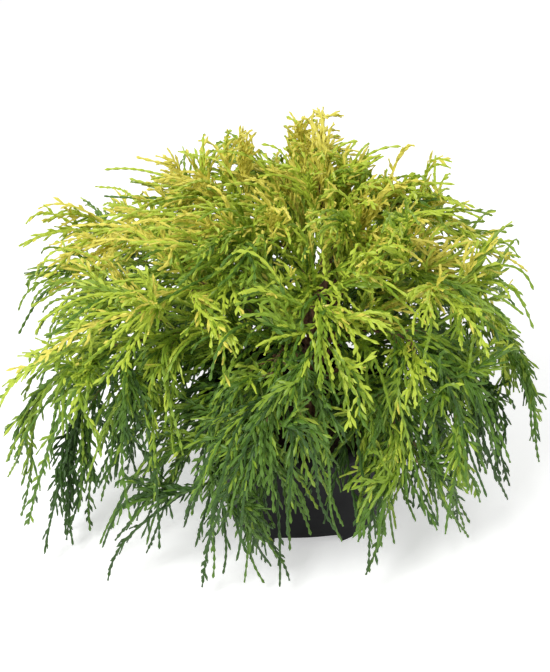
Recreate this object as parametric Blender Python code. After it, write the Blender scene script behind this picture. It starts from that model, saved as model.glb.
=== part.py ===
# Potted sungold sawara cypress: a weeping, thread-leaved conifer in a round nursery pot.
# Metres, +Z up, the origin at the centre of the pot's underside, -Y the front of the photo.
import math

import bpy
import bmesh
import numpy as np
from mathutils.bvhtree import BVHTree

SEED = 41
CLEAR = 0.0003

POT_HEIGHT = 0.104
POT_LIP_RADIUS = 0.085
POT_LIP_HEIGHT = 0.012
POT_WALL_TOP_RADIUS = 0.0792
POT_BASE_RADIUS = 0.0675
POT_WALL = 0.0017
POT_FLOOR_TOP = 0.0165
POT_SEGMENTS = 36
FOOT_RING_INNER = 0.0640
FOOT_RECESS = 0.0135
CENTRE_PAD_RADIUS = 0.026
ARCH_COUNT = 4
ARCH_HALF_ANGLE = math.radians(25.0)
ARCH_HEIGHT = 0.0125
ARCH_END_HEIGHT = 0.005
DRAIN_RADIUS = 0.0045
DRAIN_RING = 0.0565

SOIL_TOP = 0.0885
SOIL_MOUND = 0.0045
SOIL_SEGMENTS = 26

TRUNK_FOOT = (0.004, -0.004)
TRUNK_TIP = (0.026, 0.030, 0.236)
TRUNK_FOOT_RADIUS = 0.0068
TRUNK_TIP_RADIUS = 0.0021
TRUNK_FLARE = 0.0042
TRUNK_FLARE_HEIGHT = 0.007
TRUNK_SIDES = 12

BOUGH_SIDES = 5
BOUGH_FOOT_RADIUS = 0.0027
BOUGH_TIP_RADIUS = 0.0014

THREAD_STEP = 0.0164
THREAD_RIDGE = 0.0011
THREAD_KEEL = 0.0005
THREAD_NARROW = 0.0010
TOOTH_REACH = 0.0126

# Each tier of the crown: how many masses and side threads, where its boughs leave the
# trunk and end, the share of the crown's reach that its threads end at, and how far those
# ends hang below the crown's roof. Radii are from the tier's own centre.
TIERS = (
    {"name": "crown", "count": 5, "turn": 20.0, "centre": (0.012, 0.026), "leaves": (0.176, 0.204),
     "tip_radius": 0.030, "tip_height": 0.240, "rise": 1.0, "reach": (0.24, 0.60), "drop": (-0.012, 0.026),
     "threads": 5, "hang": 0.15},
    {"name": "upper", "count": 6, "turn": -26.0, "centre": (0.006, 0.016), "leaves": (0.148, 0.172),
     "tip_radius": 0.058, "tip_height": 0.222, "rise": 0.8, "reach": (0.46, 0.92), "drop": (-0.010, 0.046),
     "threads": 7, "hang": 0.35},
    {"name": "shoulder", "count": 7, "turn": 5.0, "centre": (0.0, 0.006), "leaves": (0.122, 0.146),
     "tip_radius": 0.076, "tip_height": 0.190, "rise": 0.65, "reach": (0.64, 1.0), "drop": (0.025, 0.165),
     "threads": 7, "hang": 0.72},
    {"name": "skirt", "count": 6, "turn": 2.0, "centre": (0.0, 0.0), "leaves": (0.099, 0.118),
     "tip_radius": 0.074, "tip_height": 0.147, "rise": 0.55, "reach": (0.62, 0.86), "drop": (0.125, 0.235),
     "threads": 6, "hang": 0.75},
)
TOP_THREADS = 6
TOP_HEIGHT = 0.322

# The crown's reach from the pot's axis towards the right, back, left and front, and the
# height of its roof over the axis and at its reach.
REACH = (0.190, 0.190, 0.246, 0.158)
ROOF_TOP = 0.312
ROOF_EDGE = 0.212
LOWEST = 0.012


def clear_scene():
    for found in list(bpy.data.objects):
        bpy.data.objects.remove(found, do_unlink=True)


def make_material(name, colour, roughness, metallic=0.0):
    material = bpy.data.materials.new(name)
    material.use_nodes = True
    shader = material.node_tree.nodes["Principled BSDF"]
    shader.inputs["Base Color"].default_value = (*colour, 1.0)
    shader.inputs["Roughness"].default_value = roughness
    shader.inputs["Metallic"].default_value = metallic
    return material


def add_object(name, points, faces, collection, material=None):
    mesh = bpy.data.meshes.new(name)
    mesh.from_pydata([tuple(p) for p in points], [], [tuple(int(i) for i in f) for f in faces])
    mesh.validate()
    made = bpy.data.objects.new(name, mesh)
    collection.objects.link(made)
    if material:
        mesh.materials.append(material)
    return made


def cut_away(target, cutter, operation="DIFFERENCE", solver="EXACT"):
    modifier = target.modifiers.new(operation.lower(), "BOOLEAN")
    modifier.operation = operation
    modifier.solver = solver
    modifier.object = cutter
    apply_modifiers(target)


def apply_modifiers(target):
    bpy.context.view_layer.update()
    graph = bpy.context.evaluated_depsgraph_get()
    mesh = bpy.data.meshes.new_from_object(target.evaluated_get(graph))
    target.modifiers.clear()
    target.data = mesh


def reach_towards(azimuth):
    """The crown's reach at an azimuth: the four named reaches joined by cosines."""
    quarter = (azimuth % (2 * math.pi)) / (math.pi / 2)
    near = int(quarter) % 4
    blend = 0.5 - 0.5 * math.cos(math.pi * (quarter - int(quarter)))
    return REACH[near] * (1 - blend) + REACH[(near + 1) % 4] * blend


def bezier(start, leave, arrive, end, count):
    """Points along a cubic curve with these four controls, evenly spaced by length."""
    t = np.linspace(0.0, 1.0, 81)[:, None]
    start, leave, arrive, end = (np.asarray(p, float) for p in (start, leave, arrive, end))
    curve = (1 - t) ** 3 * start + 3 * t * (1 - t) ** 2 * leave + 3 * t**2 * (1 - t) * arrive + t**3 * end
    along = np.concatenate([[0.0], np.cumsum(np.linalg.norm(np.diff(curve, axis=0), axis=1))])
    wanted = np.linspace(0.0, along[-1], count)
    return np.stack([np.interp(wanted, along, curve[:, k]) for k in range(3)], axis=1)


def frames_along(path, side_hint):
    """Tangent, side and normal at each point, the side carried both ways from the middle."""
    tangent = np.gradient(path, axis=0)
    tangent /= np.linalg.norm(tangent, axis=1)[:, None]
    side = np.empty_like(tangent)
    middle = len(path) // 2
    for order in (range(middle, len(path)), range(middle, -1, -1)):
        carried = np.asarray(side_hint, float)
        for k in order:
            carried = carried - (carried @ tangent[k]) * tangent[k]
            carried = carried / np.linalg.norm(carried)
            side[k] = carried
    return tangent, side, np.cross(tangent, side)


def ring_faces(rings, around):
    faces = []
    for k in range(rings - 1):
        for j in range(around):
            a = k * around + j
            b = k * around + (j + 1) % around
            faces += [(a, b, b + around), (a, b + around, a + around)]
    last = (rings - 1) * around
    for j in range(1, around - 1):
        faces += [(0, j + 1, j), (last, last + j, last + j + 1)]
    return faces


def limb(path, radii, sides, side_hint):
    """A tapering rod: a regular polygon of the given radius at each point of the path."""
    tangent, side, normal = frames_along(path, side_hint)
    angles = np.arange(sides) * 2 * math.pi / sides
    ring = np.cos(angles)[None, :, None] * side[:, None, :] + np.sin(angles)[None, :, None] * normal[:, None, :]
    points = path[:, None, :] + np.asarray(radii)[:, None, None] * ring
    return points.reshape(-1, 3), ring_faces(len(path), sides)


def thread(path, side_hint, bare, whip, fat=0.0):
    """A toothed blade: a three-sided rod whose left and right edges stand out by turns.

    bare is the share of the length at the root, and whip the share at the end, without teeth."""
    tangent, side, normal = frames_along(path, side_hint)
    count = len(path)
    share = np.linspace(0.0, 1.0, count)
    swell = np.clip((share - bare) / 0.1, 0, 1) * np.clip((1.02 - whip * 0.5 - share) / (whip + 0.1), 0, 1)
    narrow = THREAD_NARROW * (1.25 - 0.55 * share) + fat
    tooth = TOOTH_REACH * swell * (1.0 - 0.25 * share)
    step = np.linalg.norm(path[-1] - path[-2])
    turn = np.arange(count) % 2
    turn[-1] = 2
    left = narrow + np.where(turn == 0, tooth, 0.0)
    right = narrow + np.where(turn == 1, tooth, 0.0)
    forward = 0.7 * step * np.clip(tooth / TOOTH_REACH, 0, 1)
    shrink = 1.15 - 0.5 * share
    rows = np.empty((count, 3, 3))
    rows[:, 0] = path - side * left[:, None] + tangent * (forward * (turn == 0))[:, None]
    rows[:, 1] = path + side * right[:, None] + tangent * (forward * (turn == 1))[:, None]
    rows[:, 2] = path + normal * ((THREAD_RIDGE * shrink + fat)[:, None])
    rows[:, :2] -= normal[:, None, :] * ((THREAD_KEEL * shrink + fat)[:, None, None])
    rows[-1] = path[-1] + (rows[-1] - path[-1]) * 0.45
    faces = ring_faces(count, 3)
    for k in range(0, count - 1, 2):
        faces[6 * k] = (3 * k, 3 * k + 1, 3 * k + 3)
        faces[6 * k + 1] = (3 * k + 1, 3 * k + 4, 3 * k + 3)
    return rows.reshape(-1, 3), faces


def tree_of(shape):
    points, faces = shape
    return BVHTree.FromPolygons([tuple(p) for p in points], [tuple(int(i) for i in f) for f in faces])


def lathe(profile, segments, wobble=None):
    """A closed ring or disc solid turned from (radius, height) pairs round the Z axis."""
    points = []
    faces = []
    rows = []
    for radius, height in profile:
        if radius < 1e-9:
            rows.append([len(points)] * segments)
            points.append((0.0, 0.0, height))
            continue
        rows.append([len(points) + j for j in range(segments)])
        for j in range(segments):
            angle = 2 * math.pi * j / segments
            lift = wobble(radius, height, angle) if wobble else 0.0
            points.append((radius * math.cos(angle), radius * math.sin(angle), height + lift))
    pairs = list(zip(rows, rows[1:]))
    if profile[0][0] > 1e-9 or profile[-1][0] > 1e-9:
        pairs.append((rows[-1], rows[0]))
    for upper, lower in pairs:
        for j in range(segments):
            k = (j + 1) % segments
            corners = [upper[j], upper[k], lower[k], lower[j]]
            corners = [c for i, c in enumerate(corners) if c != corners[i - 1]]
            if len(set(corners)) > 2:
                faces.append(tuple(reversed(corners)))
    return points, faces


def build_pot(collection, cutters, material):
    lip_low = POT_HEIGHT - POT_LIP_HEIGHT
    inner_top = POT_WALL_TOP_RADIUS - POT_WALL
    inner_base = POT_BASE_RADIUS - POT_WALL + (POT_WALL_TOP_RADIUS - POT_BASE_RADIUS) * POT_FLOOR_TOP / lip_low
    profile = [
        (0.0, POT_FLOOR_TOP - 0.0145),
        (CENTRE_PAD_RADIUS - 0.003, POT_FLOOR_TOP - 0.0145),
        (CENTRE_PAD_RADIUS + 0.004, POT_FLOOR_TOP),
        (inner_base, POT_FLOOR_TOP),
        (inner_top, lip_low - 0.001),
        (inner_top + 0.0012, lip_low + 0.0016),
        (POT_LIP_RADIUS - 0.0026, lip_low + 0.0022),
        (POT_LIP_RADIUS - 0.0020, POT_HEIGHT),
        (POT_LIP_RADIUS - 0.0006, POT_HEIGHT),
        (POT_LIP_RADIUS, POT_HEIGHT - 0.0008),
        (POT_LIP_RADIUS, lip_low + 0.0012),
        (POT_LIP_RADIUS - 0.0012, lip_low),
        (POT_WALL_TOP_RADIUS, lip_low),
        (POT_BASE_RADIUS, 0.0),
        (FOOT_RING_INNER, 0.0),
        (FOOT_RING_INNER - 0.002, FOOT_RECESS),
        (CENTRE_PAD_RADIUS + 0.006, FOOT_RECESS),
        (CENTRE_PAD_RADIUS, 0.0),
        (0.0, 0.0),
    ]
    points, faces = lathe(profile, POT_SEGMENTS)
    pot = add_object("pot", points, faces, collection, material)
    for k in range(ARCH_COUNT):
        middle = -math.pi / 2 + k * 2 * math.pi / ARCH_COUNT
        cutter = add_object(f"arch_cutter_{k}", *arch_shape(middle), cutters)
        cut_away(pot, cutter)
        bpy.data.objects.remove(cutter, do_unlink=True)
        points, faces = lathe([(0.0, 0.03), (DRAIN_RADIUS, 0.03), (DRAIN_RADIUS, 0.004), (0.0, 0.004)], 10)
        shift = (DRAIN_RING * math.cos(middle), DRAIN_RING * math.sin(middle), 0.0)
        drain = add_object(f"drain_cutter_{k}", np.array(points) + shift, faces, cutters)
        cut_away(pot, drain)
        bpy.data.objects.remove(drain, do_unlink=True)
    return pot


def arch_shape(middle):
    """A wedge through the foot ring under an arched top, for one cut-out of the pot's foot."""
    steps = 8
    rows = []
    for k in range(steps + 1):
        share = 2 * k / steps - 1
        angle = middle + share * ARCH_HALF_ANGLE
        top = ARCH_END_HEIGHT + (ARCH_HEIGHT - ARCH_END_HEIGHT) * math.sqrt(max(0.0, 1 - share**2))
        for radius, height in ((0.053, -0.01), (0.09, -0.01), (0.09, top), (0.053, top)):
            rows.append((radius * math.cos(angle), radius * math.sin(angle), height))
    return rows, [f[::-1] for f in ring_faces(steps + 1, 4)]


def build_soil(collection, material):
    """The potting mix: a plug clear of the pot, its top a low uneven mound, flat at the trunk."""
    grow = (POT_WALL_TOP_RADIUS - POT_BASE_RADIUS) / (POT_HEIGHT - POT_LIP_HEIGHT)
    low = POT_FLOOR_TOP + CLEAR
    rim = POT_BASE_RADIUS + grow * (SOIL_TOP - SOIL_MOUND) - POT_WALL - 3 * CLEAR
    under = POT_BASE_RADIUS + grow * low - POT_WALL - 0.0045

    def bumps(radius, height, angle):
        if height < SOIL_TOP - 2 * SOIL_MOUND or not 0.024 < radius < 0.072:
            return 0.0
        return 0.0011 * math.sin(3 * angle + 60 * radius) + 0.0009 * math.sin(5 * angle - 140 * radius)

    mound = [(radius, SOIL_TOP - SOIL_MOUND * (radius / rim) ** 2) for radius in (0.032, 0.046, 0.060)]
    profile = [(0.0, SOIL_TOP), (0.023, SOIL_TOP), *mound, (rim, SOIL_TOP - SOIL_MOUND), (under, low), (0.0, low)]
    points, faces = lathe(profile, SOIL_SEGMENTS, bumps)
    return add_object("soil", points, faces, collection, material)


def trunk_path(count):
    foot = np.array([*TRUNK_FOOT, SOIL_TOP + CLEAR])
    tip = np.array(TRUNK_TIP)
    rise = tip[2] - foot[2]
    path = bezier(foot, foot + (0.001, 0.001, 0.4 * rise), tip - (0.006, 0.010, 0.35 * rise), tip, count)
    return path


def trunk_radii(path):
    share = (path[:, 2] - path[0, 2]) / (path[-1, 2] - path[0, 2])
    taper = TRUNK_FOOT_RADIUS * (1 - share) + TRUNK_TIP_RADIUS * share
    return taper + TRUNK_FLARE * np.exp(-(path[:, 2] - path[0, 2]) / TRUNK_FLARE_HEIGHT)


def trunk_shape(grown):
    """The trunk, or one grown by a margin to cut the boughs clear of it."""
    path = trunk_path(15)
    spread = np.concatenate([path[:1], path[:1] + (0, 0, 0.003), path[:1] + (0, 0, 0.007), path[1:]])
    radii = trunk_radii(spread)
    points, faces = limb(spread, radii + grown, TRUNK_SIDES, np.array([1.0, 0.0, 0.0]))
    points = points.reshape(len(spread), TRUNK_SIDES, 3)
    ribs = 1 + 0.16 * np.cos(np.arange(TRUNK_SIDES) * 2 * math.pi * 4 / TRUNK_SIDES + 0.7)
    for k in range(3):
        points[k] = spread[k] + (points[k] - spread[k]) * (1 + (ribs[:, None] - 1) * (1 - k / 3))
    points[0, :, 2] = SOIL_TOP + CLEAR - (0.01 if grown else 0.0)
    if grown:
        points[-1] += np.array([0.0, 0.0, CLEAR * 2])
    return points.reshape(-1, 3), faces


def point_at(centre, azimuth, radius, height):
    return np.array([centre[0] + radius * math.cos(azimuth), centre[1] + radius * math.sin(azimuth), height])


def bough_path(tier, share, azimuth, jitter, count):
    """From the trunk's middle, at a share of the tier's heights, up and out in an arch to the tip."""
    low, high = tier["leaves"]
    height = low + (high - low) * share
    trunk = trunk_path(60)
    foot = trunk[np.argmin(abs(trunk[:, 2] - height))]
    scale = reach_towards(azimuth) / 0.19
    radius = tier["tip_radius"] * (0.55 + 0.45 * scale) * (1 + 0.08 * jitter)
    tip = point_at(tier["centre"], azimuth, radius, tier["tip_height"] + 0.006 * jitter)
    outward = np.array([math.cos(azimuth), math.sin(azimuth), 0.0])
    span = np.linalg.norm(tip - foot)
    leave = foot + span * 0.42 * (outward * 0.75 + np.array([0, 0, tier["rise"]]))
    arrive = tip - span * 0.36 * (outward + np.array([0, 0, 0.28 - 0.5 * tier["hang"] + 0.25]))
    return bezier(foot, leave, arrive, tip, count)


def place_bough(name, crown, tier, order, azimuth, jitter):
    """The bough at the first height on the trunk that keeps it clear of the others outside the trunk."""
    up = np.array([0.0, 0.0, 1.0])
    for attempt in range(20):
        share = ((order + 1) * 0.618 + 0.17 * attempt) % 1.0
        fine = bough_path(tier, share, azimuth, jitter, 33)
        outside = np.linalg.norm(fine - fine[0], axis=1) > 0.0045
        radii = np.linspace(BOUGH_FOOT_RADIUS, BOUGH_TIP_RADIUS, 33)[outside]
        bare = limb(fine[outside], radii + 1.5 * CLEAR, BOUGH_SIDES, up)
        if crown.free(name, bare):
            break
    else:
        print(name, "touches another bough")
    crown.add(name, bare)
    path = bough_path(tier, share, azimuth, jitter, 6)
    return path, limb(path, np.linspace(BOUGH_FOOT_RADIUS, BOUGH_TIP_RADIUS, 6), BOUGH_SIDES, up)


def mass_threads(tier, azimuth, rng):
    """The leader's end, and each side thread's place on the leader, sideways turn and end."""
    half = math.pi / tier["count"]
    near, far = tier["reach"]
    threads = [thread_end(tier, azimuth + 0.1 * half * rng.uniform(-1, 1), far, rng.uniform(0.3, 0.6))]
    for k in range(tier["threads"]):
        order = k / tier["threads"]
        side = 1 if k % 2 else -1
        share = 0.03 + 0.58 * order
        spread = side * half * (1.0 - 0.62 * order + rng.uniform(-0.15, 0.15))
        depth = (k * 0.618 + rng.uniform(-0.15, 0.15)) % 1.0
        width = near + (far - near) * min(1.0, order + rng.uniform(0.0, 0.3))
        threads.append((share, spread, thread_end(tier, azimuth + spread, width, depth)))
    return threads


def thread_end(tier, azimuth, width, depth):
    """A point at a share of the crown's reach, hung below the crown's roof."""
    shallow, deep = tier["drop"]
    height = ROOF_TOP - (ROOF_TOP - ROOF_EDGE) * width**2 - shallow - (deep - shallow) * depth
    return point_at((0.0, 0.0), azimuth, reach_towards(azimuth) * width, max(height, LOWEST))


def arch(start, heading, end, hang):
    """Controls of a thread that leaves along its heading and comes down to its end."""
    span = np.linalg.norm(end - start)
    leave = start + heading * span * 0.42
    away = end - start
    away[2] = 0.0
    away = away / (np.linalg.norm(away) + 1e-9)
    down = np.array([0.0, 0.0, -1.0]) * hang + away * (1 - hang) + np.array([0.0, 0.0, 0.15])
    arrive = end - down / np.linalg.norm(down) * span * 0.40
    return start, leave, arrive, end


def steps_for(controls):
    start, leave, arrive, end = controls
    length = np.linalg.norm(np.diff(bezier(start, leave, arrive, end, 40), axis=0), axis=1).sum()
    return max(6, int(round(length / THREAD_STEP)) + 1)


def wandered(path, rng):
    """A slow sideways wander, none at the root."""
    count = len(path)
    share = np.linspace(0, 1, count)[:, None]
    phase = rng.uniform(0, 6.28, 3)
    sway = np.sin(share * rng.uniform(4.0, 7.0) + phase) - np.sin(phase)
    return path + 0.0028 * share * sway


def across(path, rng, twist):
    """The direction that a blade's width takes: level and across the path, turned a little."""
    run = path[-1] - path[0]
    level = np.array([-run[1], run[0], 0.0])
    level /= np.linalg.norm(level) + 1e-9
    up = np.cross(run / np.linalg.norm(run), level)
    turn = rng.uniform(-twist, twist)
    return level * math.cos(turn) + up * math.sin(turn)


class Crown:
    """Keeps every limb and blade placed so far, to keep the masses clear of each other."""

    def __init__(self):
        self.taken = []

    def add(self, owner, shape):
        self.taken.append((owner, tree_of(shape)))

    def free(self, owner, shape, beyond_root=None, siblings=()):
        """Whether a blade crosses neither itself, another mass or limb, nor a sibling past its root."""
        tree = tree_of(shape)
        if beyond_root and any(tree_of(beyond_root).overlap(tree_of(other)) for other in siblings):
            return False
        corners = [set(int(i) for i in face) for face in shape[1]]
        if any(not corners[a] & corners[b] for a, b in tree.overlap(tree)):
            return False
        return not any(other != owner and tree.overlap(found) for other, found in self.taken)


def grow_mass(name, crown, tier, azimuth, tip, heading, rng):
    """Blades of one mass: the leader, then side threads that are drawn again where they'd touch."""
    shapes = []
    planned = mass_threads(tier, azimuth, rng)
    for attempt in range(25):
        controls = arch(tip, heading, planned[0] + rng.uniform(-1, 1, 3) * 0.003 * attempt, tier["hang"])
        leader = wandered(bezier(*controls, steps_for(controls)), rng)
        hint = across(leader, rng, 0.25)
        if crown.free(name, thread(leader, hint, 0.05, 0.2, CLEAR)):
            break
    else:
        print("leader of", name, "touches")
    shapes.append(thread(leader, hint, 0.05, 0.2))
    tangent = np.gradient(leader, axis=0)
    tangent /= np.linalg.norm(tangent, axis=1)[:, None]
    for share, spread, end in planned[1:]:
        place = min(len(leader) - 2, max(1, int(round(share * len(leader)))))
        for attempt in range(9):
            moved = end + rng.uniform(-1, 1, 3) * 0.006 * attempt
            moved[2] = max(moved[2], LOWEST)
            turn = 0.75 * np.sign(spread)
            way = tangent[place]
            way = np.array([way[0] * math.cos(turn) - way[1] * math.sin(turn),
                            way[0] * math.sin(turn) + way[1] * math.cos(turn), way[2] + 0.12])
            controls = arch(leader[place], way / np.linalg.norm(way), moved, tier["hang"])
            path = wandered(bezier(*controls, steps_for(controls)), rng)
            hint = across(path, rng, 0.6)
            shape = thread(path, hint, 0.04, 0.25)
            past_root = limb(path[1:], np.full(len(path) - 1, 2 * THREAD_NARROW), 3, hint)
            if crown.free(name, thread(path, hint, 0.04, 0.25, CLEAR), past_root, shapes):
                shapes.append(shape)
                break
        else:
            print("skipped a thread of", name)
    for shape in shapes:
        crown.add(name, shape)
    return shapes


def top_mass(crown, rng):
    """The tuft on the trunk's tip: short threads that stand up and lean out all round."""
    tip = np.array(TRUNK_TIP) + (0.0, 0.0, CLEAR * 1.5)
    shapes = []
    end = tip + (-0.008, 0.012, TOP_HEIGHT - tip[2])
    leader = wandered(bezier(tip, tip + (0.0, 0.0, 0.03), end - (0.0, 0.004, 0.03), end, 10), rng)
    shapes.append(thread(leader, np.array([1.0, 0.2, 0.0]), 0.15, 0.3))
    for k in range(TOP_THREADS):
        azimuth = k * 2.4 + 0.5
        root = leader[1 + k % 4]
        end = root + np.array([0.045 * math.cos(azimuth), 0.045 * math.sin(azimuth), rng.uniform(0.028, 0.05)])
        controls = (root, root + (end - root) * 0.3 + (0, 0, 0.016), end - (end - root) * 0.3 + (0, 0, 0.006), end)
        path = bezier(*controls, steps_for(controls))
        hint = across(path, rng, 0.6)
        if crown.free("top_tuft", thread(path, hint, 0.1, 0.3, CLEAR)):
            shapes.append(thread(path, hint, 0.1, 0.3))
    for shape in shapes:
        crown.add("top_tuft", shape)
    return shapes


def join_mass(name, shapes, collection, cutters, material):
    """One Boolean union of a mass's blades, applied, its pieces then removed."""
    pieces = bpy.data.collections.new(name + "_pieces")
    bpy.context.scene.collection.children.link(pieces)
    for k, shape in enumerate(shapes[1:]):
        add_object(f"{name}_piece_{k}", *shape, pieces)
    whole = add_object(name, *shapes[0], collection, material)
    modifier = whole.modifiers.new("union", "BOOLEAN")
    modifier.operation = "UNION"
    modifier.solver = "MANIFOLD"
    modifier.operand_type = "COLLECTION"
    modifier.collection = pieces
    apply_modifiers(whole)
    for piece in list(pieces.objects):
        bpy.data.objects.remove(piece, do_unlink=True)
    bpy.data.collections.remove(pieces)
    drop_scraps(whole)
    whole.data.materials.clear()
    whole.data.materials.append(material)
    return whole


def drop_scraps(whole):
    """Keeps the largest of an object's shells, a shell being faces joined across edges."""
    shape = bmesh.new()
    shape.from_mesh(whole.data)
    bmesh.ops.triangulate(shape, faces=shape.faces[:])
    waiting = set(shape.faces)
    shells = []
    while waiting:
        edge = [waiting.pop()]
        shell = set(edge)
        while edge:
            face = edge.pop()
            pairs = [link.link_faces for link in face.edges if len(link.link_faces) == 2]
            near = {found for pair in pairs for found in pair} - shell
            shell |= near
            edge.extend(near)
        waiting -= shell
        shells.append(shell)
    shells.sort(key=len)
    for shell in shells[:-1]:
        print("dropped a scrap of", len(shell), "faces from", whole.name)
        bmesh.ops.delete(shape, geom=list(shell), context="FACES")
    shape.to_mesh(whole.data)
    shape.free()


def build():
    clear_scene()
    parts = bpy.data.collections.new("parts")
    cutters = bpy.data.collections.new("cutters")
    for made in (parts, cutters):
        bpy.context.scene.collection.children.link(made)
    build_pot(parts, cutters, make_material("pot_plastic", (0.012, 0.012, 0.014), 0.55))
    build_soil(parts, make_material("potting_mix", (0.05, 0.032, 0.02), 0.95))
    bark = (0.16, 0.085, 0.045)
    crown = Crown()
    trunk = trunk_shape(0.0)
    add_object("trunk", *trunk, parts, make_material("trunk_bark", bark, 0.85))
    around = add_object("trunk_cutter", *trunk_shape(CLEAR), cutters)
    rng = np.random.RandomState(SEED)
    jobs = []
    for tier in TIERS:
        for k in range(tier["count"]):
            azimuth = math.radians(tier["turn"]) + (k + 0.16 * rng.uniform(-1, 1)) * 2 * math.pi / tier["count"]
            name = f"{tier['name']}_bough_{k + 1}"
            path, shape = place_bough(name, crown, tier, k, azimuth, rng.uniform(-1, 1))
            bough = add_object(name, *shape, parts, make_material(name + "_bark", bark, 0.85))
            cut_away(bough, around)
            heading = path[-1] - path[-2]
            heading /= np.linalg.norm(heading)
            jobs.append((tier, k, azimuth, path, heading))
    bpy.data.objects.remove(around, do_unlink=True)
    crown.add("trunk", trunk)
    green = (0.16, 0.27, 0.035)
    mass = join_mass("top_tuft", top_mass(crown, rng), parts, cutters, make_material("top_tuft_green", green, 0.6))
    for tier, k, azimuth, path, heading in jobs:
        name = f"{tier['name']}_mass_{k + 1}"
        shapes = grow_mass(name, crown, tier, azimuth, path[-1] + heading * CLEAR, heading, rng)
        mass = join_mass(name, shapes, parts, cutters, make_material(name + "_green", green, 0.6))
        print(name, len(shapes), "blades", len(mass.data.polygons), "faces")


build()
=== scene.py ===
# The looks of a potted sungold sawara cypress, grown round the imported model.
# Metres, +Z up, the origin at the centre of the pot's underside, -Y the front of the photo.
import math

import bmesh
import bpy
import numpy as np
from mathutils import Matrix
from mathutils.bvhtree import BVHTree
from numpy.linalg import norm


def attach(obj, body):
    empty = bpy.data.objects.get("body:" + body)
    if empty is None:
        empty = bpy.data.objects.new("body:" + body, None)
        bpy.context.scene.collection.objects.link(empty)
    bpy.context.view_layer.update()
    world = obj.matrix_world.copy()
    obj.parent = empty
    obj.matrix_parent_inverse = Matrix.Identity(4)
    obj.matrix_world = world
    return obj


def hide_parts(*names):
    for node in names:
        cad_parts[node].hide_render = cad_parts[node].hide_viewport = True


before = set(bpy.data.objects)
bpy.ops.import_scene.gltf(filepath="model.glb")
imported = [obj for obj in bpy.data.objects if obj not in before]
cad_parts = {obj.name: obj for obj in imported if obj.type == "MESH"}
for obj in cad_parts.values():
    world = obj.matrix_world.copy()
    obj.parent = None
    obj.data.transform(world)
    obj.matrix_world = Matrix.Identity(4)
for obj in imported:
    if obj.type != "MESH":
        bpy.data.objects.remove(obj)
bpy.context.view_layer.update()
scene = bpy.context.scene
up = np.array([0.0, 0.0, 1.0])
white = (1, 1, 1, 1)

# Camera, floor and light

view = dict(
    place=(-0.0184, -0.8073, 0.6679), elevation=math.radians(32.0), roll=math.radians(2.81),
    lens=64.29, sensor=36.0)
stage = dict(sky=0.38, floor=0.86, floorGlow=0.45, floorRoughness=0.9, floorHalf=6.0)
# Each lamp's name, place, aim, size and power.
lamps = (("keyLight", (-0.75, -0.95, 1.55), (0, 0, 0.15), 0.7, 25.0),
         ("fillLight", (1.3, -0.9, 0.9), (0, 0, 0.15), 1.2, 4.0),
         ("backLight", (0.5, 1.3, 1.3), (0, 0, 0.2), 1.0, 9.0))


def matrixOf(axes, place):
    # Three axes as columns and a place, as one matrix.
    matrix = np.eye(4)
    matrix[:3, :3] = np.stack(axes, axis=1)
    matrix[:3, 3] = place
    return Matrix(matrix.tolist())


def addObject(name, data):
    made = bpy.data.objects.new(name, data)
    scene.collection.objects.link(made)
    return made


def placeCamera():
    # Right, high and back axes at the photo's elevation, the first two turned by its small roll.
    cosE, sinE = math.cos(view["elevation"]), math.sin(view["elevation"])
    right, high, back = np.array([1.0, 0, 0]), np.array([0, sinE, cosE]), np.array([0, -cosE, sinE])
    cosR, sinR = math.cos(view["roll"]), math.sin(view["roll"])
    data = bpy.data.cameras.new("photoCamera")
    data.lens = view["lens"]
    data.sensor_width = view["sensor"]
    made = addObject("photoCamera", data)
    axes = (cosR * right - sinR * high, sinR * right + cosR * high, back)
    made.matrix_world = matrixOf(axes, view["place"])
    scene.camera = made


def areaLight(name, place, aim, size, power):
    # A round lamp whose back axis points away from what it is aimed at.
    data = bpy.data.lights.new(name, "AREA")
    data.shape = "DISK"
    data.size = size
    data.energy = power
    back = np.array(place) - np.array(aim)
    back = back / norm(back)
    right = np.cross(up, back)
    right = right / norm(right)
    addObject(name, data).matrix_world = matrixOf((right, np.cross(back, right), back), place)


def setStage():
    # A pale floor that glows a little, three soft lamps and a pale sky.
    material, shader = newMaterial("paleFloor", (stage["floor"],) * 3, stage["floorRoughness"])
    shader.inputs["Emission Color"].default_value = white
    shader.inputs["Emission Strength"].default_value = stage["floorGlow"]
    corners = np.array([[-1, -1, 0], [1, -1, 0], [1, 1, 0], [-1, 1, 0]]) * stage["floorHalf"]
    floor = meshObject("floor", corners, np.array([[0, 1, 2, 3]]), material)
    for lamp in lamps:
        areaLight(*lamp)
    world = bpy.data.worlds.new("paleWorld")
    world.use_nodes = True
    sky = world.node_tree.nodes["Background"]
    sky.inputs["Color"].default_value = white
    sky.inputs["Strength"].default_value = stage["sky"]
    scene.world = world
    scene.view_settings.view_transform = "Standard"


# Materials and meshes

mottle = dict(detail=4.0, darkEnd=0.36, paleEnd=0.66, bumpDetail=3.0, bumpStrength=0.6)


def newMaterial(name, colour, roughness):
    material = bpy.data.materials.new(name)
    material.use_nodes = True
    shader = material.node_tree.nodes["Principled BSDF"]
    shader.inputs["Base Color"].default_value = (*colour, 1.0)
    shader.inputs["Roughness"].default_value = roughness
    return material, shader


def addNode(tree, kind, **values):
    node = tree.nodes.new("ShaderNode" + kind)
    for name, value in values.items():
        node.inputs[name].default_value = value
    return node


def addNoise(tree, vector, scale, detail):
    noise = addNode(tree, "TexNoise", Scale=scale, Detail=detail)
    tree.links.new(vector, noise.inputs["Vector"])
    return noise.outputs["Fac"]


def addBump(tree, height, strength, depth):
    relief = addNode(tree, "Bump", Strength=strength, Distance=depth)
    tree.links.new(height, relief.inputs["Height"])
    tree.links.new(relief.outputs["Normal"], tree.nodes["Principled BSDF"].inputs["Normal"])


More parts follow.
